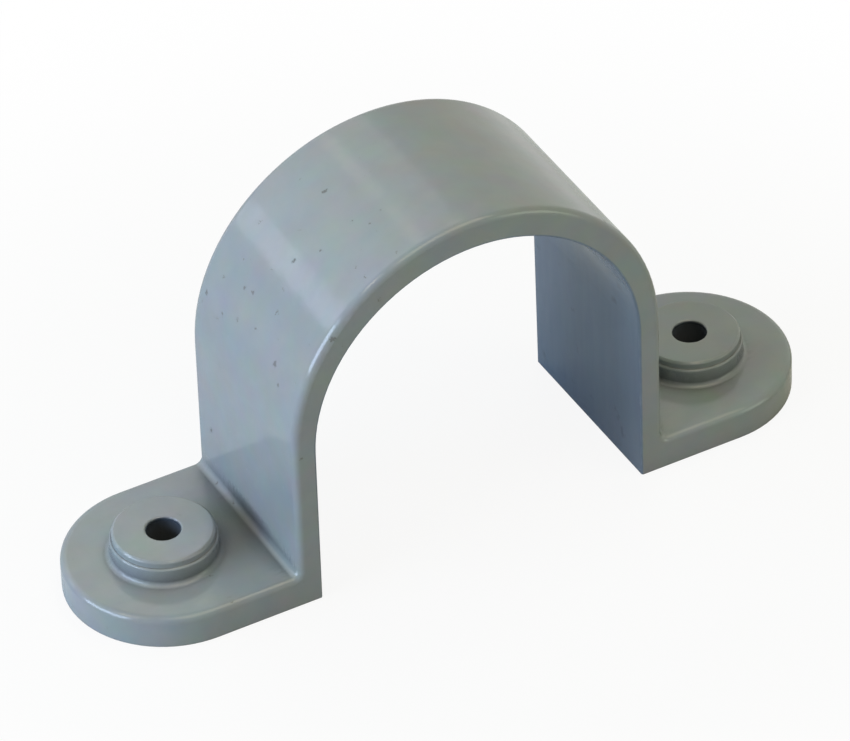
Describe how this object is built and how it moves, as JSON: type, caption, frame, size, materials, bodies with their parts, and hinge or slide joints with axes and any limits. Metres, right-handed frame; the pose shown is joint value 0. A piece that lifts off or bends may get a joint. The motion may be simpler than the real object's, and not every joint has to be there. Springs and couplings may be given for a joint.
{
  "type": "saddle clip",
  "caption": "Moulded saddle clip for round pipe or conduit: half-round arch on straight legs, with round-ended screw feet that carry stepped bosses.",
  "frame": {"origin": "middle of the flat face that lies on the wall, midway between the screw holes", "axes": "+X from one foot to the other, Y along the pipe, +Z away from the wall"},
  "size_m": [0.1116, 0.0294, 0.0544],
  "materials": {
    "grey_pvc": "semi-gloss blue-grey rigid PVC, as moulded"
  },
  "bodies": {
    "root": {"saddle_clip": "grey_pvc"}
  },
  "joints": []
}
